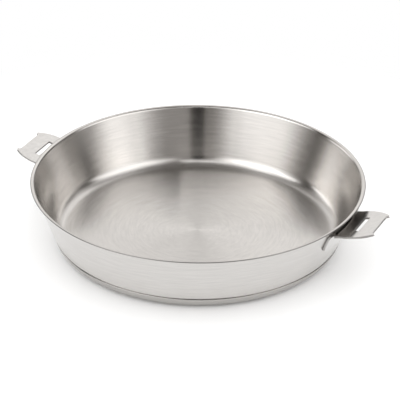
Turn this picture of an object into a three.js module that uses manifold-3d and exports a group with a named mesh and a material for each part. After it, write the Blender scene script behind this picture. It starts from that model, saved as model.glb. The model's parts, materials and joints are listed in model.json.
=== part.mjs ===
// Stainless frying pan with a capsule base and two slotted lugs for a clip-on handle.
// Millimetres, +Z up. The origin is the middle of the underside, and the lugs point along +X and -X.
import * as THREE from 'three';
import { mergeVertices } from 'three/addons/utils/BufferGeometryUtils.js';
import Module from 'manifold-3d';

// Pan body, one drawn sheet
const rimHeight = 65;
const floorRadius = 129.6; // flat floor, up to its fillet
const floorFillet = 14; // inside radius between floor and wall
const wallLean = 20; // degrees from upright
const bodySheet = 1;
const lipBend = 3; // inside radius of the bend between wall and lip
const lipSlope = 6; // degrees from level
const lipFlange = 1.2; // straight part of the lip, past its bend

// Capsule base
const spreaderThickness = 5.3;
const capSheet = 0.7;
const capEdgeSlope = 78; // degrees from level, where the dish ends at the seam
const seamDrop = 4.25; // the dish ends this far below the start of the straight wall

// Lugs: a leg with two ears lies on the wall, and a flat plate rises from it.
// Every height and reach is measured from the root, where the plate's top face would meet the wall.
const lugSheet = 2;
const rootDrop = 11.2; // root of the plate, below the top of the rim
const plateRise = 12.5; // degrees from level
const lugBend = 2; // inside radius of the bend between leg and plate
const legWidth = 74;
const legDepth = 15.8;
const legCorner = 6.5;
const earRise = 2;
const earWidth = 4; // flat top of each ear, with its rounded corner
const earCorner = 2.5;
const neckReach = 2.5;
const neckWidth = 54;
const bellyReach = 14.5;
const bellyWidth = 56;
const hornReach = 35.7;
const hornWidth = 39.4; // from tip to tip
const hornSlope = 38; // degrees from the lug's axis, where the side reaches the horn
const hornNose = 0.6; // length rounded off at the tip of each horn
const edgeReach = 32.7; // straight outer edge between the horns
const edgeWidth = 30.6;
const slotReach = 12.9; // inner edge of the slot
const slotWidth = 6.2;
const slotLength = 30;
const slotCorner = 1.2;

// Spot welds between leg and wall
const weldCount = 4;
const weldEdge = 9; // from each side of the leg to the nearest weld's centre
const weldDepth = 9;
const weldRadius = 2.5;
const weldThickness = 1.1;
const weldChamfer = 0.2;

// Fits and fineness
const seatGap = 0.3; // between pieces that lie on each other's curved faces
const cutMargin = 20; // how far cutting shapes stand past the sheet
const bendLap = 1; // overlap of leg and bend, where they join into one sheet
const turnSegments = 96;
const weldSegments = 20;
const arcSteps = 5;

const bodyMetal = { color: 0xd0cdc8, roughness: 0.32, metalness: 1 };
const spreaderMetal = { color: 0xc4c6c8, roughness: 0.5, metalness: 1 };
const capMetal = { color: 0xbdbab5, roughness: 0.35, metalness: 1 };
const lugMetal = { color: 0xd4d2ce, roughness: 0.25, metalness: 1 };
const weldMetal = { color: 0x9c9893, roughness: 0.6, metalness: 1 };

const wasm = await Module();
wasm.setup();

const radians = THREE.MathUtils.degToRad;
const degrees = THREE.MathUtils.radToDeg;
const point = (x, y) => new THREE.Vector2(x, y);

function onCircle(centre, radius, angle) {
  return point(centre.x + radius * Math.cos(radians(angle)), centre.y + radius * Math.sin(radians(angle)));
}

function arc(centre, radius, fromAngle, toAngle) {
  const points = [];
  for (let step = 0; step <= arcSteps; step++) {
    points.push(onCircle(centre, radius, fromAngle + ((toAngle - fromAngle) * step) / arcSteps));
  }
  return points;
}

// Places that several pieces share
const lean = radians(wallLean);
const rise = radians(plateRise);
const spreaderTop = capSheet + spreaderThickness;
const floorTop = spreaderTop + bodySheet;
const filletCentre = point(floorRadius, floorTop + floorFillet);
const wallFoot = onCircle(filletCentre, floorFillet + bodySheet, -wallLean);
const rootHeight = rimHeight - rootDrop;
const rootRadius = wallRadius(rootHeight);
const legOffset = seatGap / Math.cos(lean); // level distance between wall and leg
const legThickness = lugSheet / Math.cos(lean); // of the leg, measured level
const capCorner = cornerOfCap();

// Outside radius of the leaning wall at a height.
function wallRadius(height) {
  return wallFoot.x + (height - wallFoot.y) * Math.tan(lean);
}

// Height of the plate's top face at a distance from the pan's axis.
function plateTop(distance) {
  return rootHeight + (distance - rootRadius) * Math.tan(rise);
}

// The corner of the dish is one arc, from the flat underside to the edge that lies on the body at the seam.
function cornerOfCap() {
  const seamHeight = wallFoot.y - seamDrop;
  const outer = floorFillet + bodySheet;
  const bodyRadius = filletCentre.x + Math.sqrt(outer ** 2 - (filletCentre.y - seamHeight) ** 2);
  const edgeRadius = bodyRadius + seatGap + capSheet;
  const radius = seamHeight / (1 - Math.cos(radians(capEdgeSlope)));
  return { radius, centre: point(edgeRadius - radius * Math.sin(radians(capEdgeSlope)), radius) };
}

// A closed profile of (radius, height) points, turned about the Z axis.
function turned(profile, segments = turnSegments) {
  return new THREE.LatheGeometry(profile, segments).rotateX(Math.PI / 2);
}

function extruded(shape, depth) {
  return new THREE.ExtrudeGeometry(shape, { depth, bevelEnabled: false, curveSegments: arcSteps });
}

// A shape from its outline on the +Y side of the X axis, joined straight across the axis to its mirror image.
function mirrored(half) {
  const points = half.getPoints(arcSteps);
  return new THREE.Shape([...points, ...points.map((corner) => point(corner.x, -corner.y)).reverse()]);
}

function solid(geometry) {
  geometry.deleteAttribute('normal');
  geometry.deleteAttribute('uv');
  const merged = mergeVertices(geometry);
  return new wasm.Manifold(new wasm.Mesh({
    numProp: 3,
    vertProperties: new Float32Array(merged.attributes.position.array),
    triVerts: new Uint32Array(merged.index.array),
  }));
}

function surface(body) {
  const mesh = body.getMesh();
  const geometry = new THREE.BufferGeometry();
  geometry.setAttribute('position', new THREE.BufferAttribute(new Float32Array(mesh.vertProperties), 3));
  geometry.setIndex(new THREE.BufferAttribute(new Uint32Array(mesh.triVerts), 1));
  geometry.computeVertexNormals();
  return geometry;
}

function piece(name, geometry, metal) {
  const mesh = new THREE.Mesh(geometry, new THREE.MeshStandardMaterial(metal));
  mesh.name = name;
  return mesh;
}

// The sheet runs along the floor, up the wall and out over the lip, then back on the inside.
function panBody() {
  const wallSide = 180 - wallLean;
  const edgeSide = 90 + lipSlope;
  const middleBend = lipBend - bodySheet / 2;
  const flange = onCircle(point(0, 0), lipFlange, lipSlope);
  const bendHeight = rimHeight - bodySheet / 2 - flange.y - middleBend * Math.sin(radians(edgeSide));
  const bendCentre = point(wallRadius(bendHeight) + (lipBend - bodySheet) / Math.cos(lean), bendHeight);
  const edgeCentre = onCircle(bendCentre, middleBend, edgeSide).add(flange);
  return piece('pan_body', turned([
    point(0, spreaderTop),
    ...arc(filletCentre, floorFillet + bodySheet, -90, -wallLean),
    ...arc(bendCentre, lipBend - bodySheet, wallSide, edgeSide),
    ...arc(edgeCentre, bodySheet / 2, lipSlope - 90, edgeSide),
    ...arc(bendCentre, lipBend, edgeSide, wallSide),
    ...arc(filletCentre, floorFillet, -wallLean, -90),
    point(0, floorTop),
  ]), bodyMetal);
}

function baseCap() {
  const { centre, radius } = capCorner;
  return piece('base_cap', turned([
    point(0, 0),
    ...arc(centre, radius, -90, capEdgeSlope - 90),
    ...arc(centre, radius - capSheet, capEdgeSlope - 90, -90),
    point(0, capSheet),
  ]), capMetal);
}

// The disc lies flat between floor and dish, and its edge follows the dish's corner.
function heatSpreader() {
  const { centre, radius } = capCorner;
  const edge = radius - capSheet - seatGap;
  const topAngle = degrees(Math.asin((spreaderTop - centre.y) / edge));
  return piece('heat_spreader', turned([
    point(0, capSheet),
    point(centre.x, capSheet),
    ...arc(centre, edge, -90, topAngle),
    point(0, spreaderTop),
  ]), spreaderMetal);
}

// Turns a section of the lug about the pan's axis. As turned, its plate is a cone, so each point then slides
// down along the wall until the plate lies flat.
function lugRing(section) {
  const ring = turned(section);
  const spots = ring.attributes.position;
  for (let index = 0; index < spots.count; index++) {
    const [x, y, z] = [spots.getX(index), spots.getY(index), spots.getZ(index)];
    const reach = Math.hypot(x, y);
    const cosine = x / reach;
    const drop = (reach * (1 - cosine) * Math.tan(rise)) / (1 - cosine * Math.tan(rise) * Math.tan(lean));
    const shrink = 1 - (drop * Math.tan(lean)) / reach;
    spots.setXYZ(index, x * shrink, y * shrink, z - drop);
  }
  return solid(ring);
}

// Centre of the bend between leg and plate, in the section through the lug's middle.
function bendCentre() {
  const outer = lugBend + lugSheet;
  const plateShift = outer / Math.cos(rise);
  const wallShift = legOffset + outer / Math.cos(lean);
  const across = (wallShift - plateShift * Math.tan(lean)) / (1 - Math.tan(lean) * Math.tan(rise));
  return point(rootRadius + across, rootHeight + across * Math.tan(rise) - plateShift);
}

// The leg's own ring goes straight up the wall, past the ears.
function legRing() {
  const [low, high] = [rootHeight - legDepth - cutMargin, rimHeight];
  const [lowRadius, highRadius] = [wallRadius(low) + legOffset, wallRadius(high) + legOffset];
  return lugRing([
    point(lowRadius, low),
    point(lowRadius + legThickness, low),
    point(highRadius + legThickness, high),
    point(highRadius, high),
    point(lowRadius, low),
  ]);
}

// The plate's ring starts a little below the bend.
function plateRing() {
  const centre = bendCentre();
  const wallSide = 180 - wallLean;
  const plateSide = 90 + plateRise;
  const low = centre.y - bendLap;
  const lowRadius = wallRadius(low) + legOffset;
  const end = rootRadius + hornReach + cutMargin;
  return lugRing([
    point(lowRadius, low),
    point(lowRadius + legThickness, low),
    ...arc(centre, lugBend, wallSide, plateSide),
    point(end, plateTop(end) - lugSheet / Math.cos(rise)),
    point(end, plateTop(end)),
    ...arc(centre, lugBend + lugSheet, plateSide, wallSide),
    point(lowRadius, low),
  ]);
}

// Outline of the plate from above: straight neck, belly, horns and the edge between them.
function plateOutline() {
  const out = (reach) => rootRadius + reach;
  const [neck, belly, horn] = [neckWidth / 2, bellyWidth / 2, hornWidth / 2];
  const middle = out((neckReach + bellyReach) / 2);
  const sideTurn = out(hornReach) - (belly - horn) / Math.tan(radians(hornSlope));
  const half = new THREE.Path();
  half.moveTo(0, neck);
  half.lineTo(out(neckReach), neck);
  half.bezierCurveTo(middle, neck, middle, belly, out(bellyReach), belly);
  half.quadraticCurveTo(sideTurn, belly, out(hornReach) - hornNose, horn + hornNose);
  half.quadraticCurveTo(out(hornReach), horn, out(hornReach) - hornNose, horn - hornNose);
  half.quadraticCurveTo(out(edgeReach), horn - hornNose, out(edgeReach), edgeWidth / 2);
  return mirrored(half);
}

// Outline of the leg as seen along the lug's axis, as (height, half width), with a gap for the plate between
// its ears.
function legOutline() {
  const [leg, neck] = [legWidth / 2, neckWidth / 2];
  const [bottom, notch, top] = [rootHeight - legDepth, bendCentre().y, rootHeight + earRise];
  const half = new THREE.Path();
  half.moveTo(notch, neck);
  half.quadraticCurveTo(top, neck, top, leg - earWidth);
  half.lineTo(top, leg - earCorner);
  half.absarc(top - earCorner, leg - earCorner, earCorner, 0, Math.PI / 2, false);
  half.lineTo(bottom + legCorner, leg);
  half.absarc(bottom + legCorner, leg - legCorner, legCorner, Math.PI / 2, Math.PI, false);
  return mirrored(half);
}

// The slot goes square through the plate.
function slotCut() {
  const [half, corner] = [slotLength / 2, slotCorner];
  const shape = new THREE.Shape();
  shape.absarc(corner, corner - half, corner, Math.PI, 1.5 * Math.PI, false);
  shape.absarc(slotWidth - corner, corner - half, corner, 1.5 * Math.PI, 2 * Math.PI, false);
  shape.absarc(slotWidth - corner, half - corner, corner, 0, 0.5 * Math.PI, false);
  shape.absarc(corner, half - corner, corner, 0.5 * Math.PI, Math.PI, false);
  const inner = rootRadius + slotReach;
  const cut = extruded(shape, 2 * cutMargin).translate(0, 0, -cutMargin);
  return solid(cut.rotateY(-rise).translate(inner, 0, plateTop(inner)));
}

// Where the welds sit: on the leg's inner face, with their own Z axis square to the wall and pointing out.
function weldPlaces() {
  const height = rootHeight - weldDepth;
  const radius = wallRadius(height);
  const span = legWidth - 2 * weldEdge;
  const places = [];
  for (let index = 0; index < weldCount; index++) {
    const turn = (span * (index / (weldCount - 1) - 0.5)) / radius;
    const outward = new THREE.Euler(0, Math.PI / 2 + lean, turn, 'ZYX');
    const place = new THREE.Matrix4().makeRotationFromEuler(outward);
    const lift = new THREE.Vector3(0, 0, seatGap).applyEuler(outward);
    place.setPosition(radius * Math.cos(turn) + lift.x, radius * Math.sin(turn) + lift.y, height + lift.z);
    places.push(place);
  }
  return places;
}

function weldPocket(place) {
  const radius = weldRadius + seatGap;
  return solid(turned([
    point(0, -seatGap),
    point(radius, -seatGap),
    point(radius, weldThickness + seatGap),
    point(0, weldThickness + seatGap),
  ], weldSegments).applyMatrix4(place));
}

function weld(name, place) {
  const nugget = piece(name, turned([
    point(0, 0),
    point(weldRadius, 0),
    point(weldRadius, weldThickness - weldChamfer),
    point(weldRadius - weldChamfer, weldThickness),
    point(0, weldThickness),
  ], weldSegments), weldMetal);
  nugget.applyMatrix4(place);
  return nugget;
}

function lug(name) {
  const plate = extruded(plateOutline(), rimHeight + cutMargin);
  const leg = extruded(legOutline(), rootRadius + hornReach).rotateY(-Math.PI / 2).rotateZ(Math.PI);
  let sheet = legRing().intersect(solid(leg)).add(plateRing().intersect(solid(plate)));
  sheet = sheet.subtract(slotCut());
  for (const place of weldPlaces()) {
    sheet = sheet.subtract(weldPocket(place));
  }
  return piece(name, surface(sheet), lugMetal);
}

// One side of the pan: a lug and its welds, turned about the pan's axis.
function lugSide(side, turn) {
  const group = new THREE.Group();
  group.rotation.z = turn;
  group.add(lug(`${side}_lug`));
  weldPlaces().forEach((place, index) => group.add(weld(`${side}_weld_${index + 1}`, place)));
  return group;
}

const pan = new THREE.Group();
pan.add(panBody(), heatSpreader(), baseCap());
pan.add(lugSide('right', 0), lugSide('left', Math.PI));

export default pan;
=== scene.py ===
import json

import bpy
import bmesh
import numpy as np
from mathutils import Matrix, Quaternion, Vector

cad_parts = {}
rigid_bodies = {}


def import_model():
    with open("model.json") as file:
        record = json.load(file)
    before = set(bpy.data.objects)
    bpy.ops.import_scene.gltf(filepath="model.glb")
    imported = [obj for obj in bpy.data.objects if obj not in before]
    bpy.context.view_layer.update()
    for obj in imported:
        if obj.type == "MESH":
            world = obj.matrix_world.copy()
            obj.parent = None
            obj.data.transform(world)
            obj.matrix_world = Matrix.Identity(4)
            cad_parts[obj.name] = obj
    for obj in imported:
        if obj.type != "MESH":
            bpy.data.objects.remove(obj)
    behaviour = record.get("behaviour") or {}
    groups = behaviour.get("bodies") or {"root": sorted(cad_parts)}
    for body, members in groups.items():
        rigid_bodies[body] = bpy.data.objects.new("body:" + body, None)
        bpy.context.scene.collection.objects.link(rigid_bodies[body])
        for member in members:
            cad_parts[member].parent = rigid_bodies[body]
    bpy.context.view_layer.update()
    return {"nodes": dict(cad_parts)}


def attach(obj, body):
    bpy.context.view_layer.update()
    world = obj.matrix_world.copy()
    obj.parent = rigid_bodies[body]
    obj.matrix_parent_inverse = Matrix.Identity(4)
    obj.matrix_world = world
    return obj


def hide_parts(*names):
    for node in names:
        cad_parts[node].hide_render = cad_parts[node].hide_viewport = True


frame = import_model()
mm = 0.001
print("frame loaded:", len(frame["nodes"]), "nodes")


# Shared shape helpers. Profiles and outlines are arrays of (a, b) points in millimetres.

def arc(centre, radius, fromDegrees, toDegrees, steps=10):
    # points at equal turns on a circle
    turn = np.radians(np.linspace(fromDegrees, toDegrees, steps + 1))
    return np.asarray(centre) + radius * np.stack([np.cos(turn), np.sin(turn)], 1)


def line(start, end, steps):
    # points on a straight stretch, closer together near both of its ends
    share = (1 - np.cos(np.linspace(0, np.pi, steps + 1))) / 2
    return np.outer(1 - share, start) + np.outer(share, end)


def bezier(points, steps):
    # a Bezier curve of any order, by repeated blending of neighbouring control points
    share = np.linspace(0, 1, steps + 1)[:, None, None]
    level = np.repeat(np.asarray(points, float)[None], steps + 1, 0)
    while level.shape[1] > 1:
        level = level[:, :-1] * (1 - share) + level[:, 1:] * share
    return level[:, 0]


def chain(*stretches):
    # joins stretches end to end and drops the points that they share
    points = np.concatenate(stretches)
    step = np.linalg.norm(np.diff(points, axis=0), axis=1)
    return points[np.concatenate([[True], step > 1e-6])]


def lengths(points):
    # running length from the first point to each point of a line
    return np.concatenate([[0], np.cumsum(np.linalg.norm(np.diff(points, axis=0), axis=1))])


def gridPiece(name, points, uv, closedRows, cut=None):
    # quads between neighbouring rows and columns; columns always close, rows close where asked.
    # cut gives each row or point a share from 0 to 1 of the darker edge colour: how far it belongs to a cut
    # edge of the sheet, and where painted shade or a painted dark reflection darkens an edge further
    rows, cols = points.shape[:2]
    flat = (points.reshape(-1, 3) * mm).astype(np.float32)
    lastRow = rows if closedRows else rows - 1
    i, j = np.meshgrid(np.arange(lastRow), np.arange(cols), indexing="ij")
    below, beside = (i + 1) % rows, (j + 1) % cols
    quads = np.stack([i * cols + j, i * cols + beside, below * cols + beside, below * cols + j], -1)
    quads = quads.reshape(-1, 4)
    corners = np.stack([uv(i, j), uv(i, j + 1), uv(i + 1, j + 1), uv(i + 1, j)], 2).reshape(-1, 4, 2)
    a, b, c, d = (flat[quads[:, k]] for k in range(4))
    volume = (np.einsum("ij,ij->i", a, np.cross(b, c)) + np.einsum("ij,ij->i", a, np.cross(c, d))).sum()
    if volume < 0:  # the faces point inwards, so each one is wound the other way round
        quads, corners = quads[:, ::-1], corners[:, ::-1]
    mesh = bpy.data.meshes.new(name)
    mesh.from_pydata(flat, [], quads.tolist())
    mesh.uv_layers.new(name="grain").uv.foreach_set("vector", corners.reshape(-1).astype(np.float32))
    share = np.zeros((rows, 1)) if cut is None else np.reshape(cut, (rows, -1))
    share = np.broadcast_to(share, (rows, cols))
    marks = np.stack([share[i, j], share[i, beside], share[below, beside], share[below, j]], 2)
    marks = marks.reshape(-1, 4)[:, ::-1] if volume < 0 else marks.reshape(-1, 4)
    marks = np.repeat(marks.reshape(-1), 2).astype(np.float32)
    mesh.uv_layers.new(name="cut").uv.foreach_set("vector", marks)
    melt = bmesh.new()  # rows that shrink to one point become a pole
    melt.from_mesh(mesh)
    bmesh.ops.remove_doubles(melt, verts=melt.verts, dist=1e-7)
    melt.to_mesh(mesh)
    melt.free()
    mesh.shade_smooth()
    piece = bpy.data.objects.new(name, mesh)
    bpy.context.scene.collection.objects.link(piece)
    return piece


def turnedPiece(name, profile, segments, cut=None):
    # each profile point (radius, height) goes round the pan's axis;
    # u runs along the profile, v round the axis
    turn = np.linspace(0, 2 * np.pi, segments, endpoint=False)
    x = np.outer(profile[:, 0], np.cos(turn))
    y = np.outer(profile[:, 0], np.sin(turn))
    z = np.repeat(profile[:, 1:], segments, 1)
    along = lengths(profile) * mm
    uv = lambda i, j: np.stack([along[i], j / segments], -1)
    return gridPiece(name, np.stack([x, y, z], -1), uv, closedRows=False, cut=cut)


# Pan body: one drawn sheet, from the underside of the floor up the wall, over the lip and back inside.

panBody = {
    "rimHeight": 65.0, "floorRadius": 129.6, "floorFillet": 14.0, "wallLean": 20.0, "sheet": 1.0,
    "lipBend": 3.0, "lipSlope": 6.0, "lipFlange": 1.2, "floorTop": 7.0, "trim": 0.8, "segments": 480,
}
lean = np.radians(panBody["wallLean"])
filletCentre = np.array([panBody["floorRadius"], panBody["floorTop"] + panBody["floorFillet"]])
wallFoot = arc(filletCentre, panBody["floorFillet"] + panBody["sheet"], -panBody["wallLean"], 0, 1)[0]


def wallRadius(height):
    # the outer wall is a cone, whose radius grows with height by the tangent of its lean
    return wallFoot[0] + (height - wallFoot[1]) * np.tan(lean)


def panProfile(p):
    # straight stretches and tangent arcs: floor, fillet, wall, lip bend, flange and rounded rim, then back
    wallTurn, edgeTurn = 180 - p["wallLean"], 90 + p["lipSlope"]
    slope = np.radians(p["lipSlope"])
    flange = p["lipFlange"] * np.array([np.cos(slope), np.sin(slope)])
    middleBend = p["lipBend"] - p["sheet"] / 2
    bendHeight = p["rimHeight"] - p["sheet"] / 2 - flange[1] - middleBend * np.cos(slope)
    bend = np.array([wallRadius(bendHeight) + (p["lipBend"] - p["sheet"]) / np.cos(lean), bendHeight])
    edge = arc(bend, middleBend, edgeTurn, edgeTurn + 1, 1)[0] + flange
    outerFillet = arc(filletCentre, p["floorFillet"] + p["sheet"], -90, -p["wallLean"], 12)
    innerFillet = arc(filletCentre, p["floorFillet"], -p["wallLean"], -90, 18)
    outerBend = arc(bend, p["lipBend"] - p["sheet"], wallTurn, edgeTurn, 8)
    innerBend = arc(bend, p["lipBend"], edgeTurn, wallTurn, 8)
    rim = arc(edge, p["sheet"] / 2, p["lipSlope"] - 90, edgeTurn, 12)
    return chain(
        line((0, p["floorTop"] - p["sheet"]), outerFillet[0], 12), outerFillet,
        line(outerFillet[-1], outerBend[0], 16), outerBend,
        line(outerBend[-1], rim[0], 3), rim, line(rim[-1], innerBend[0], 3), innerBend,
        line(innerBend[-1], innerFillet[0], 16), innerFillet,
        line(innerFillet[-1], (0, p["floorTop"]), 24))


bodyLine = panProfile(panBody)
rimCutShadeFrom = bodyLine[:, 0].max() - panBody["sheet"] * panBody["trim"]  # the lip's trimmed edge lies past it; past it the rim is darker, partly the cut edge itself and partly painted shade under the lip
body = turnedPiece("pan_body_spun", bodyLine, panBody["segments"], bodyLine[:, 0] > rimCutShadeFrom)
print("pan body:", len(body.data.polygons), "faces")


# Base cap: a shallow dish under the capsule, whose free edge is rounded and lies beside the wall at the seam.

baseCap = {"sheet": 0.7, "edgeSlope": 78.0, "seamDrop": 4.25, "seatGap": 0.3, "segments": 480}


def capProfile(p):
    # a flat disc and one arc up to the seam, out over a round edge and back at the sheet's thickness
    seam = wallFoot[1] - p["seamDrop"]
    outer = panBody["floorFillet"] + panBody["sheet"]
    bodyRadius = filletCentre[0] + np.sqrt(outer ** 2 - (filletCentre[1] - seam) ** 2)
    slope = np.radians(p["edgeSlope"])
    radius = seam / (1 - np.cos(slope))
    centre = np.array([bodyRadius + p["seatGap"] + p["sheet"] - radius * np.sin(slope), radius])
    endAngle = p["edgeSlope"] - 90
    edge = arc(centre, radius - p["sheet"] / 2, endAngle, endAngle + 1, 1)[0]
    return chain(
        line((0, 0), (centre[0], 0), 16), arc(centre, radius, -90, endAngle, 18),
        arc(edge, p["sheet"] / 2, endAngle, endAngle + 180, 8),
        arc(centre, radius - p["sheet"], endAngle, -90, 12),
        line((centre[0], p["sheet"]), (0, p["sheet"]), 6))


cap = turnedPiece("base_cap_spun", capProfile(baseCap), baseCap["segments"])
print("base cap:", len(cap.data.polygons), "faces")


# Lugs: a bent sheet. Its flat pattern is a ring between the slot and the outline, in the coordinates
# (along the sheet from the start of the bend, across it), and a section then bends it onto the wall.

lug = {
    "sheet": 2.0, "edge": 0.45, "rootDrop": 11.2, "plateRise": 12.5, "bend": 2.0, "seatGap": 0.3,
    "legWidth": 74.0, "legDepth": 15.8, "legCorner": 6.5,
    "earRise": 2.0, "earWidth": 4.0, "earCorner": 2.5, "earGap": 0.9,
    "neckReach": 2.5, "neckWidth": 54.0, "bellyReach": 14.5, "bellyWidth": 56.0,
    "hornReach": 35.7, "hornWidth": 39.4, "hornSlope": 38.0, "hornNose": 0.9,
    "edgeReach": 32.7, "edgeWidth": 30.6,
    "slotReach": 12.9, "slotWidth": 6.2, "slotLength": 30.0, "slotCorner": 1.2,
    "weldCount": 4, "weldEdge": 9.0, "weldDepth": 9.0, "weldRadius": 2.3, "weldDent": 0.12,
    "gateSteps": 14, "legSteps": 14, "roundSteps": 4,
    # how dark each sheared edge is coloured: the end level is the cut edge's own colour; the leg's edge
    # beside the wall and the slot's walls add painted shade, and the sides past the horns a painted dark
    # reflection
    "legCutShade": 0.9, "sideCutDarkReflection": 0.8, "endCut": 0.1, "slotCut": 1.0,
    "slotShear": 0.02, "edgeShear": 0.3, "hornBand": 2.0,
}
rise = np.radians(lug["plateRise"])
half = lug["sheet"] / 2
rootHeight = panBody["rimHeight"] - lug["rootDrop"]
rootRadius = wallRadius(rootHeight)
grade = np.tan(rise) * np.tan(lean)


def bendCentre(p):
    # as far below the plate's top face as it is out from the leg's wall side
    outer = p["bend"] + p["sheet"]
    down, out = outer / np.cos(rise), (p["seatGap"] + outer) / np.cos(lean)
    across = (out - down * np.tan(lean)) / (1 - grade)
    return np.array([rootRadius + across, rootHeight + across * np.tan(rise) - down])


bendMiddle = bendCentre(lug)
bendRadius = lug["bend"] + half
wallSide = np.pi - lean
plateSide = np.pi / 2 + rise
bendLength = bendRadius * (wallSide - plateSide)
gateHeight = bendMiddle[1] + bendRadius * np.sin(wallSide)
plateStart = bendMiddle[0] + (bendRadius + half) * np.cos(plateSide)


def section(along, offset, straight):
    # leg, bend and plate in turn; an ear stays straight where the plate bends away
    bent = np.where(straight, 0, np.clip(along, 0, bendLength)) / bendRadius
    angle = wallSide - bent
    past = along - bent * bendRadius
    radius = bendMiddle[0] + (bendRadius + offset) * np.cos(angle) + past * np.sin(angle)
    height = bendMiddle[1] + (bendRadius + offset) * np.sin(angle) - past * np.cos(angle)
    return radius, height


def reachAt(radius, across):
    # distance along the lug's axis of a section's point, once the sheet lies flat across the lug
    level = radius * (1 - grade)
    root = np.sqrt((level * grade) ** 2 + (1 - grade ** 2) * (level ** 2 - across ** 2))
    return (level * grade + root) / (1 - grade ** 2)


def bentSheet(along, across, offset, straight):
    # every section slides down the wall by as much as keeps the plate flat
    radius, height = section(along, offset, straight)
    reach = reachAt(radius, across)
    return np.stack([reach, across, height - (radius - reach) * np.tan(rise)], -1)


def onPlate(points):
    # plan points (reach from the root, across) as places on the flat pattern
    reach, across = rootRadius + points[:, 0], points[:, 1]
    radius = (np.hypot(reach, across) - reach * grade) / (1 - grade)
    return np.stack([bendLength + (radius - plateStart) / np.cos(rise), across], 1)


def onLeg(points):
    # elevation points (height, across) as places on the flat pattern
    height, across = points[:, 0], points[:, 1]
    drop = (rootRadius - reachAt(rootRadius, across)) * np.tan(rise)
    return np.stack([(height + drop - gateHeight) / np.cos(lean), across], 1)


def plateSideLine(p):
    # from the middle of the outer edge round the horn, along the belly and in to the neck
    neck, belly, horn, nose = p["neckWidth"] / 2, p["bellyWidth"] / 2, p["hornWidth"] / 2, p["hornNose"]
    tip, edge = p["hornReach"], p["edgeReach"]
    turn = tip - (belly - horn) / np.tan(np.radians(p["hornSlope"]))
    middle = (p["neckReach"] + p["bellyReach"]) / 2
    inner, outer = (tip - nose, horn - nose), (tip - nose, horn + nose)
    end = chain(
        line((edge, 0), (edge, p["edgeWidth"] / 2), 16),
        bezier([(edge, p["edgeWidth"] / 2), (edge, inner[1]), inner], 14),
        bezier([inner, (tip, horn), outer], 8))
    side = bezier([outer, (turn, belly), (p["bellyReach"], belly)], 40)
    waist = bezier([(p["bellyReach"], belly), (middle, belly), (middle, neck), (p["neckReach"], neck)], 24)
    return onPlate(end), onPlate(side), onPlate(waist)


def legSideLine(p, gap):
    # round the gap beside the neck, over the ear, down the leg's side and in along its bottom edge
    neck, leg = p["neckWidth"] / 2, p["legWidth"] / 2
    bottom, top = rootHeight - p["legDepth"], rootHeight + p["earRise"]
    ear, corner, foot = leg - p["earWidth"], p["earCorner"], p["legCorner"]
    floor = gateHeight
    return onLeg(chain(
        arc((floor, neck + gap / 2), gap / 2, 180, 90, 4),
        bezier([(floor, neck + gap), (top, neck + gap), (top, ear)], 12),
        line((top, ear), (top, leg - corner), 3),
        arc((top - corner, leg - corner), corner, 0, 90, 8),
        line((top - corner, leg), (bottom + foot, leg), 8),
        arc((bottom + foot, leg - foot), foot, 90, 180, 10), line((bottom, leg - foot), (bottom, 0), 24)))


def slotLine(p, counts):
    # a rounded slot, from the middle of its outer edge to the middle of its inner one
    inner, outer = p["slotReach"], p["slotReach"] + p["slotWidth"] * np.cos(rise)
    end, corner = p["slotLength"] / 2, p["slotCorner"]
    stretches = (
        line((outer, 0), (outer, end - corner), counts[0] - 1),
        arc((outer - corner, end - corner), corner, 0, 90, counts[1] - 1),
        line((outer - corner, end), (inner + corner, end), counts[2] - 1),
        arc((inner + corner, end - corner), corner, 90, 180, counts[3] - 1),
        line((inner, end - corner), (inner, 0), counts[4] - 1))
    return [onPlate(stretch) for stretch in stretches]


def flatPattern(p):
    # matching rows of points on the slot, on the gate between plate and leg, and on the outline, for one half
    neck, gap = p["neckWidth"] / 2, p["earGap"]
    end, side, waist = plateSideLine(p)
    neckEnd = onPlate(np.array([[p["neckReach"], neck]]))[0]
    gapStart = onLeg(arc((gateHeight, neck + gap / 2), gap / 2, 270, 180, 4))
    strip = chain(line(neckEnd, (0, neck), 16), gapStart)
    leg = legSideLine(p, gap)
    outline = [end, side, waist, strip, leg]
    slot = slotLine(p, [len(stretch) for stretch in outline])
    fan = lengths(leg)
    gate = np.stack([np.zeros(len(leg)), (neck + gap / 2) * (1 - fan / fan[-1])], 1)
    share = [np.full(len(stretch), 0.5) for stretch in outline[:3]]
    share += [np.linspace(0.5, 1, len(strip)), np.ones(len(leg))]
    toGate = [start + (stop - start) * part[:, None] for start, stop, part in zip(slot, outline, share)]
    toGate[4] = gate
    keep = [slice(1 if k else 0, None) for k in range(5)]
    inLeg = np.concatenate([np.full(len(stretch), k == 4)[keep[k]] for k, stretch in enumerate(outline)])
    rows = [np.concatenate([part[k][keep[k]] for k in range(5)]) for part in (slot, toGate, outline)]
    return rows, inLeg


def bothHalves(points):
    # the mirror image follows, without the two points on the axis that both halves share
    return np.concatenate([points, points[-2:0:-1] * (1, -1)])


def outward(points):
    # unit normals of a closed line
    run = np.roll(points, -1, 0) - np.roll(points, 1, 0)
    normal = np.stack([-run[:, 1], run[:, 0]], 1)
    return normal / np.linalg.norm(normal, axis=1, keepdims=True)


def weldDents(along, across, p):
    # shallow round marks on the leg's outer face, where the welding tip pressed
    span = p["legWidth"] - 2 * p["weldEdge"]
    places = np.linspace(-span / 2, span / 2, p["weldCount"])
    depth = (rootHeight - p["weldDepth"] - gateHeight) / np.cos(lean)
    away = np.hypot(along[..., None] - depth, across[..., None] - places) / p["weldRadius"]
    return p["weldDent"] * np.exp(-away ** 4).sum(-1)


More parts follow.
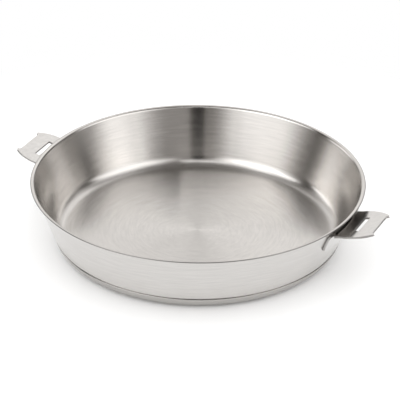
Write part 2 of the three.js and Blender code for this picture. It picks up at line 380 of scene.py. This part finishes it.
def lugPoints(p):
    # rows run over the top face from slot to outline, round the edge, back below and up through the slot
    (slot, gate, outline), inLeg = flatPattern(p)
    slot, gate, outline = bothHalves(slot), bothHalves(gate), bothHalves(outline)
    inLeg = np.concatenate([inLeg, inLeg[-2:0:-1]])
    e = p["edge"]
    slotSide, outSide = outward(slot), -outward(outline)
    slotStart, outEnd = slot + e * slotSide, outline + e * outSide
    near = (1 - np.cos(np.linspace(0, np.pi / 2, p["gateSteps"] + 1)))[:, None, None]
    far = np.sin(np.linspace(0, np.pi / 2, p["legSteps"] + 1))[1:, None, None]
    face = np.concatenate([slotStart + (gate - slotStart) * near, gate + (outEnd - gate) * far])
    pastGate = np.arange(len(face)) > p["gateSteps"]
    straight = pastGate[:, None] & inLeg
    quarter = np.linspace(0, np.pi / 2, p["roundSteps"] + 1)[1:]
    lift = half - e * (1 - np.cos(quarter))  # height of a rounded edge above the sheet's middle
    outRound = outEnd - e * outSide * np.sin(quarter)[:, None, None]
    slotRound = slotStart - e * slotSide * np.sin(quarter)[:, None, None]
    top, roundEar = np.full(len(face), half), np.repeat(inLeg[None], len(quarter), 0)
    flat = np.concatenate([face, outRound, outRound[::-1], face[::-1], slotRound, slotRound[::-1]])
    level = np.concatenate([top, lift, -lift[::-1], -top, -lift, lift[::-1]])
    slotEar = np.zeros((2 * len(quarter), len(inLeg)), bool)
    onEar = np.concatenate([straight, roundEar, roundEar, straight[::-1], slotEar])
    along, across = flat[..., 0], flat[..., 1]
    offset = np.repeat(level[:, None], len(inLeg), 1)
    offset = np.where(offset == -half, offset + weldDents(along, across, p), offset)
    inSlot = (np.arange(len(flat)) >= len(flat) - 2 * len(quarter))[:, None]
    # edge darkness: painted shade in the gap between leg and wall and inside the slot, a painted dark
    # reflection on the plate's sides past the horns, and elsewhere only the cut edge's own slight darkening
    pastHorn = np.abs(across) > p["hornWidth"] / 2 - p["hornBand"]
    plateEdgeCutAndReflection = np.where(pastHorn, p["sideCutDarkReflection"], p["endCut"])
    legEdgeCutShade = np.where(offset > 0, p["legCutShade"], p["endCut"])  # darkest along the wall
    sheared = np.abs(offset) < half - np.where(inSlot, p["slotShear"], p["edgeShear"]) * e
    cut = sheared * np.where(inSlot, p["slotCut"], np.where(inLeg, legEdgeCutShade, plateEdgeCutAndReflection))
    return bentSheet(along, across, offset, onEar), flat, cut


def lugPiece(name, side):
    points, flat, cut = lugPoints(lug)
    points = points * (side, side, 1)  # the left lug is the right one after half a turn
    rows, cols = points.shape[:2]
    uv = lambda i, j: flat[i % rows, j % cols] * mm
    return gridPiece(name, points, uv, closedRows=True, cut=cut)


rightLug = lugPiece("right_lug_formed", 1)
leftLug = lugPiece("left_lug_formed", -1)
print("lugs:", len(rightLug.data.polygons), "faces each")


# Shader helpers

def nodeIn(tree, kind, inputs=None, **settings):
    node = tree.nodes.new(kind)
    for key, value in settings.items():
        setattr(node, key, value)
    for key, value in (inputs or {}).items():
        if isinstance(value, bpy.types.NodeSocket):
            tree.links.new(value, node.inputs[key])
        else:
            node.inputs[key].default_value = value
    return node


def blend(tree, share, first, second):
    return nodeIn(tree, "ShaderNodeMix", {0: share, 2: first, 3: second}).outputs[0]


def blendColour(tree, share, first, second):
    return nodeIn(tree, "ShaderNodeMix", {0: share, 6: first, 7: second}, data_type="RGBA").outputs[2]


def math(tree, operation, first, second=0.0, third=0.0):
    return nodeIn(tree, "ShaderNodeMath", {0: first, 1: second, 2: third}, operation=operation).outputs[0]


def smooth(tree, value, low, high, start=0.0, end=1.0):
    inputs = {"Value": value, "From Min": low, "From Max": high, "To Min": start, "To Max": end}
    return nodeIn(tree, "ShaderNodeMapRange", inputs, interpolation_type="SMOOTHSTEP").outputs["Result"]


def groupOf(name, inputs, outputs):
    tree = bpy.data.node_groups.new(name, "ShaderNodeTree")
    for socket, default in inputs.items():
        made = tree.interface.new_socket(socket, in_out="INPUT", socket_type="NodeSocketFloat")
        made.default_value = default
    for socket in outputs:
        tree.interface.new_socket(socket, in_out="OUTPUT", socket_type="NodeSocketFloat")
    return tree, nodeIn(tree, "NodeGroupInput").outputs, nodeIn(tree, "NodeGroupOutput").inputs


spun = {
    "rings": 900.0, "around": 5.0,
    "layers": {"Grain": {"share": 1.0, "detail": 3.0}, "Bands": {"share": 0.3, "detail": 2.0}},
}


def spunGrainGroup(p):
    # fine rings: noise that changes fast along the profile and slowly round the pan's axis
    tree, given, out = groupOf("spunGrain", {"Rings": p["rings"], "Around": p["around"]}, p["layers"])
    place = nodeIn(tree, "ShaderNodeTexCoord").outputs["Object"]
    parts = nodeIn(tree, "ShaderNodeSeparateXYZ", {0: place}).outputs
    flat = nodeIn(tree, "ShaderNodeCombineXYZ", {"X": parts["X"], "Y": parts["Y"], "Z": 0.0}).outputs[0]
    radius = nodeIn(tree, "ShaderNodeVectorMath", {0: flat}, operation="LENGTH").outputs["Value"]
    way = nodeIn(tree, "ShaderNodeVectorMath", {0: flat}, operation="NORMALIZE").outputs["Vector"]
    turned = nodeIn(tree, "ShaderNodeVectorMath", {0: way, "Scale": given["Around"]}, operation="SCALE")
    turned = turned.outputs["Vector"]
    level = math(tree, "ADD", radius, parts["Z"])
    for socket, layer in p["layers"].items():
        ring = math(tree, "MULTIPLY", level, math(tree, "MULTIPLY", given["Rings"], layer["share"]))
        lift = nodeIn(tree, "ShaderNodeCombineXYZ", {"Z": ring}).outputs[0]
        spot = nodeIn(tree, "ShaderNodeVectorMath", {0: turned, 1: lift}, operation="ADD").outputs["Vector"]
        noise = nodeIn(tree, "ShaderNodeTexNoise", {"Vector": spot, "Scale": 1.0, "Detail": layer["detail"]})
        tree.links.new(noise.outputs["Fac"], out[socket])
    return tree


finish = {
    "fine": 0.4, "coarse": 0.6, "spread": (0.3, 0.7), "cutRoughness": 0.38,
    "floorToWall": (0.008, 0.016), "bumpDepth": 0.00002,
}


def steel(name, look, grain):
    # tint and roughness follow the rings, and roughness also differs between floor and wall
    material = bpy.data.materials.new(name)
    material.use_nodes = True
    tree = material.node_tree
    shader = tree.nodes["Principled BSDF"]
    rings = nodeIn(tree, "ShaderNodeGroup", node_tree=grain)
    rings.inputs["Rings"].default_value = look["rings"]
    rings.inputs["Around"].default_value = look["around"]
    mixed = math(tree, "ADD", math(tree, "MULTIPLY", rings.outputs["Grain"], finish["fine"]),
                 math(tree, "MULTIPLY", rings.outputs["Bands"], finish["coarse"]))
    shade = smooth(tree, mixed, *finish["spread"])
    tint = blendColour(tree, shade, (*look["dark"], 1), (*look["light"], 1))
    cut = nodeIn(tree, "ShaderNodeUVMap", uv_map="cut").outputs["UV"]
    cut = nodeIn(tree, "ShaderNodeSeparateXYZ", {0: cut}).outputs["X"]  # sheared edges are darker and rougher; the darker edge colour also paints shade beside the lug's leg, under the rim's lip and in the slots, and a dark reflection past the horns
    tree.links.new(blendColour(tree, cut, tint, (*look["edge"], 1)), shader.inputs["Base Color"])
    place = nodeIn(tree, "ShaderNodeTexCoord").outputs["Object"]
    height = nodeIn(tree, "ShaderNodeSeparateXYZ", {0: place}).outputs["Z"]
    onWall = smooth(tree, height, *finish["floorToWall"])
    low, high = (blend(tree, onWall, foot, side) for foot, side in zip(look["floor"], look["wall"]))
    plain = smooth(tree, mixed, *finish["spread"], low, high)
    tree.links.new(blend(tree, cut, plain, finish["cutRoughness"]), shader.inputs["Roughness"])
    grooves = {"Strength": look["bump"], "Distance": finish["bumpDepth"], "Height": rings.outputs["Grain"]}
    bump = nodeIn(tree, "ShaderNodeBump", grooves)
    tree.links.new(bump.outputs["Normal"], shader.inputs["Normal"])
    shader.inputs["Metallic"].default_value = 1.0
    shader.inputs["Anisotropic"].default_value = look["stretch"]
    tangent = nodeIn(tree, "ShaderNodeTangent", direction_type="UV_MAP", uv_map="grain")
    tree.links.new(tangent.outputs[0], shader.inputs["Tangent"])
    return material


spunGrain = spunGrainGroup(spun)
# edge: the darker colour of sheared edges, which on the rim and the lugs also stands for painted shade and a
# painted dark reflection
bodyLook = {
    "dark": (0.634, 0.617, 0.598), "light": (0.702, 0.684, 0.663),
    "wall": (0.18, 0.20), "floor": (0.25, 0.265),
    "rings": 1500.0, "around": 5.0, "bump": 0.008, "stretch": 0.9, "edge": (0.30, 0.29, 0.28),
}
lugLook = {
    "dark": (0.658, 0.646, 0.631), "light": (0.708, 0.695, 0.679),
    "wall": (0.14, 0.20), "floor": (0.14, 0.20),
    "rings": 700.0, "around": 40.0, "bump": 0.15, "stretch": 0.0, "edge": (0.24, 0.23, 0.22),
}
# the cap's steel is coloured darker than the body's: painted shade where the cap sits low beside the table
shadedCapLook = {
    "dark": (0.49, 0.476, 0.46), "light": (0.53, 0.514, 0.496), "wall": (0.24, 0.27), "floor": (0.24, 0.27),
    "rings": 1100.0, "around": 6.0, "bump": 0.01, "stretch": 0.8, "edge": (0.30, 0.29, 0.28),
}
weldLook = {
    "dark": (0.40, 0.385, 0.37), "light": (0.50, 0.48, 0.46), "wall": (0.42, 0.55), "floor": (0.42, 0.55),
    "rings": 1600.0, "around": 300.0, "bump": 0.3, "stretch": 0.0, "edge": (0.30, 0.29, 0.28),
}
spreaderLook = {
    "dark": (0.70, 0.71, 0.72), "light": (0.75, 0.76, 0.77), "wall": (0.34, 0.42), "floor": (0.34, 0.42),
    "rings": 600.0, "around": 60.0, "bump": 0.1, "stretch": 0.0, "edge": (0.6, 0.6, 0.6),
}
bodySteel = steel("bodySteel", bodyLook, spunGrain)
shadedCapSteel = steel("shadedCapSteel", shadedCapLook, spunGrain)
weldSteel = steel("weldSteel", weldLook, spunGrain)
spreaderMetal = steel("spreaderMetal", spreaderLook, spunGrain)
lugSteel = steel("lugSteel", lugLook, spunGrain)

dressed = (
    (body, ["pan_body"], "body_steel", bodySteel),
    (cap, ["base_cap"], "base_steel", shadedCapSteel),
    (rightLug, ["right_lug"], "lug_steel", lugSteel),
    (leftLug, ["left_lug"], "lug_steel", lugSteel),
)
for piece, nodes, slotName, material in dressed:
    piece.data.materials.append(material)
    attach(piece, "root")
    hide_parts(*nodes)
for name, node in frame["nodes"].items():
    if "weld" in name or "spreader" in name:
        node.data.materials.clear()
        node.data.materials.append(weldSteel if "weld" in name else spreaderMetal)
print("finishes set")


# Stage: a white table, and surroundings of soft white cards with a dark gap behind the camera.

camera = {
    "azimuth": 25.8, "elevation": 28.04, "distance": 2007.7, "over": (0.0, 0.0, 65.0),
    "aim": (6.3, -8.2, 46.0), "roll": 0.593, "lens": 184.38,
}


def makeCamera(p):
    turn, tilt = np.radians(p["azimuth"]), np.radians(p["elevation"])
    back = Vector((np.sin(turn) * np.cos(tilt), -np.cos(turn) * np.cos(tilt), np.sin(tilt)))
    data = bpy.data.cameras.new("camera")
    data.lens = p["lens"]
    eye = bpy.data.objects.new("camera", data)
    bpy.context.scene.collection.objects.link(eye)
    eye.location = (Vector(p["over"]) + back * p["distance"]) * mm
    eye.rotation_mode = "QUATERNION"
    look = (Vector(p["aim"]) * mm - eye.location).to_track_quat("-Z", "Y")
    eye.rotation_quaternion = look @ Quaternion((0, 0, 1), np.radians(p["roll"]))
    data.clip_start, data.clip_end = 0.1, 50
    bpy.context.scene.camera = eye


makeCamera(camera)


def window(tree, value, low, high, edges):
    # 1 between two limits and 0 outside them, each with a soft edge of its own
    rising = smooth(tree, value, low - edges[0] / 2, low + edges[0] / 2)
    falling = smooth(tree, value, high - edges[1] / 2, high + edges[1] / 2, 1.0, 0.0)
    return math(tree, "MULTIPLY", rising, falling)


def bearingOf(tree, way):
    # compass bearing in degrees, 0 towards the photo's camera and positive to its right,
    # and the height part of a direction
    turned = nodeIn(tree, "ShaderNodeVectorRotate", {"Vector": way, "Angle": -np.radians(camera["azimuth"])},
                    rotation_type="Z_AXIS").outputs[0]
    parts = nodeIn(tree, "ShaderNodeSeparateXYZ", {0: turned}).outputs
    ahead = math(tree, "MULTIPLY", parts["Y"], -1.0)
    return math(tree, "DEGREES", math(tree, "ARCTAN2", parts["X"], ahead)), parts["Z"]


stand = {
    "radius": 480.0, "fade": (300.0, 440.0), "drop": 0.05, "rings": 8, "segments": 96,
    "inSteel": 0.72, "clear": (142.0, 170.0),
    # dark: the sector where steel sees the table near black, a painted dark reflection; the camera still sees
    # it white
    "dark": {"bearing": (92.0, 146.0), "soft": (24.0, 30.0), "level": 0.06},
}


def makeFloor(p):
    # a white round table; towards its edge it melts into the white background. In one sector steel alone sees
    # it near black: a painted dark reflection
    turn = np.linspace(0, 2 * np.pi, p["segments"], endpoint=False)
    rings = np.linspace(0, p["radius"], p["rings"])
    points = np.stack([np.outer(rings, np.cos(turn)), np.outer(rings, np.sin(turn)),
                       np.full((len(rings), len(turn)), -p["drop"])], -1)
    uv = lambda i, j: np.stack([rings[i] * mm, j / p["segments"]], -1)
    floor = gridPiece("floor", points, uv, closedRows=False)
    material = bpy.data.materials.new("floorWhite")
    material.use_nodes = True
    tree = material.node_tree
    shader = tree.nodes["Principled BSDF"]
    shader.inputs["Base Color"].default_value = (1, 1, 1, 1)
    shader.inputs["Roughness"].default_value = 1.0
    shader.inputs["Specular IOR Level"].default_value = 0.0
    place = nodeIn(tree, "ShaderNodeTexCoord").outputs["Object"]
    away = nodeIn(tree, "ShaderNodeVectorMath", {0: place}, operation="LENGTH").outputs["Value"]
    melt = smooth(tree, away, p["fade"][0] * mm, p["fade"][1] * mm)
    ray = nodeIn(tree, "ShaderNodeLightPath").outputs  # what steel shows of the table is mostly plain white
    direct = math(tree, "LESS_THAN", ray["Diffuse Depth"], 0.5)
    mirrored = math(tree, "MULTIPLY", ray["Is Glossy Ray"], direct)
    share = smooth(tree, away, p["clear"][0] * mm, p["clear"][1] * mm, 0.0, p["inSteel"])
    # painted dark reflection: in this sector the table shows near black to steel only
    darkReflectionSector = window(tree, bearingOf(tree, place)[0], *p["dark"]["bearing"], p["dark"]["soft"])
    dark = math(tree, "MULTIPLY", mirrored, darkReflectionSector)
    melt = math(tree, "MAXIMUM", math(tree, "MAXIMUM", melt, math(tree, "MULTIPLY", mirrored, share)), dark)
    level = math(tree, "MULTIPLY_ADD", dark, p["dark"]["level"] - 1.0, 1.0)
    glow = nodeIn(tree, "ShaderNodeEmission", {"Color": (1, 1, 1, 1), "Strength": level}).outputs[0]
    mixed = nodeIn(tree, "ShaderNodeMixShader", {0: melt, 1: shader.outputs[0], 2: glow}).outputs[0]
    tree.links.new(mixed, tree.nodes["Material Output"].inputs["Surface"])
    floor.data.materials.append(material)


makeFloor(stand)


def patch(bearing, soft, elevation, melt, level):
    # a soft-edged rectangle of the surroundings, in degrees; soft and melt are the widths of its edges
    return {"bearing": bearing, "soft": soft, "elevation": elevation, "melt": melt, "level": level}


studio = {
    "room": 0.135, "onTable": 1.3, "warmth": 0.12, "dim": (1.06, 0.90, 0.77),
    "table": {"bearing": (-102.0, 110.0), "soft": (20.0, 20.0), "horizon": (-3.0, 1.0), "level": 2.0},
    "back": {"from": 148.0, "soft": 30.5, "elevation": (0.0, 62.8), "melt": (12.0, 12.0), "level": 0.88},
    "cards": (  # each adds its level
        patch((-76.0, -22.8), (34.0, 27.7), (-1.6, 46.1), (30.0, 3.8), 1.24),
        patch((-101.7, -30.9), (1.3, 58.8), (35.2, 52.9), (21.8, 20.7), 2.50),
        patch((40.6, 105.2), (37.0, 49.6), (-12.3, 65.1), (19.8, 6.4), 1.17),
        patch((20.0, 98.2), (15.1, 6.8), (33.4, 51.8), (28.2, 13.3), 0.67),
        patch((-103.7, 20.7), (4.4, 1.7), (58.1, 67.6), (4.9, 14.0), 2.18),
        patch((-26.9, -10.1), (3.3, 47.5), (-6.8, 52.9), (6.9, 6.8), 0.20),
        patch((6.2, 47.5), (2.5, 5.6), (-7.5, 56.7), (6.7, 3.0), 0.19),
        patch((-131.4, -103.7), (11.1, 8.6), (8.8, 21.2), (4.1, 15.0), 2.45),
        patch((134.7, 168.6), (1.3, 1.7), (21.0, 60.4), (4.4, 5.0), 0.30),
        patch((121.0, 150.0), (9.0, 14.0), (29.0, 47.0), (7.0, 10.0), 0.6),
        patch((-154.0, -116.0), (9.0, 8.0), (21.0, 40.0), (8.0, 10.0), 0.4),
    ),
    "shades": (  # each lets its level of the light through
        patch((-4.2, 5.0), (3.0, 7.0), (-90.0, 57.0), (1.0, 6.0), 0.0),
        patch((73.0, 157.0), (20.0, 20.0), (-90.0, 19.0), (1.0, 9.0), 0.3),
        patch((96.5, 112.0), (5.0, 6.0), (17.0, 37.0), (8.0, 6.0), 0.1),
        patch((-111.0, -96.0), (6.0, 5.0), (20.0, 38.0), (8.0, 6.0), 0.1),
    ),
}


def makeWorld(p):
    # white for the camera, one level for light on the table, and for steel the room with its cards and shades
    scene = bpy.context.scene
    scene.world = bpy.data.worlds.new("studio")
    scene.world.use_nodes = True
    tree = scene.world.node_tree
    tree.nodes.clear()
    way = nodeIn(tree, "ShaderNodeTexCoord").outputs["Generated"]
    bearing, height = bearingOf(tree, way)
    elevation = math(tree, "DEGREES", math(tree, "ARCSINE", height))
    shape = lambda card: math(tree, "MULTIPLY", window(tree, bearing, *card["bearing"], card["soft"]),
                              window(tree, elevation, *card["elevation"], card["melt"]))
    back, table = p["back"], p["table"]
    aside = math(tree, "ABSOLUTE", bearing)
    behind = smooth(tree, aside, back["from"] - back["soft"] / 2, back["from"] + back["soft"] / 2)
    wall = window(tree, elevation, *back["elevation"], back["melt"])
    light = math(tree, "MULTIPLY_ADD", math(tree, "MULTIPLY", behind, wall), back["level"], p["room"])
    for card in p["cards"]:
        light = math(tree, "MULTIPLY_ADD", shape(card), card["level"], light)
    lower = math(tree, "MULTIPLY", window(tree, bearing, *table["bearing"], table["soft"]), table["level"])
    below = smooth(tree, elevation, *table["horizon"], 1.0, 0.0)
    light = blend(tree, below, light, lower)
    for shade in p["shades"]:
        through = math(tree, "MULTIPLY_ADD", shape(shade), shade["level"] - 1.0, 1.0)
        light = math(tree, "MULTIPLY", light, through)
    ray = nodeIn(tree, "ShaderNodeLightPath").outputs
    fromTable = math(tree, "GREATER_THAN", ray["Diffuse Depth"], 0.5)
    plain = math(tree, "MAXIMUM", fromTable, ray["Is Camera Ray"])
    onTable = blend(tree, fromTable, light, p["onTable"])
    seen = blend(tree, ray["Is Camera Ray"], onTable, 1.0)
    pale = math(tree, "DIVIDE", light, math(tree, "ADD", light, p["warmth"]))  # dim parts are warmer
    pale = math(tree, "MAXIMUM", plain, pale)
    tint = blendColour(tree, pale, (*p["dim"], 1), (1, 1, 1, 1))
    glow = nodeIn(tree, "ShaderNodeBackground", {"Color": tint, "Strength": seen})
    out = nodeIn(tree, "ShaderNodeOutputWorld")
    tree.links.new(glow.outputs[0], out.inputs["Surface"])


makeWorld(studio)

print("stage set")

scene = bpy.context.scene
scene.view_settings.view_transform = "Standard"
print("scene ready")
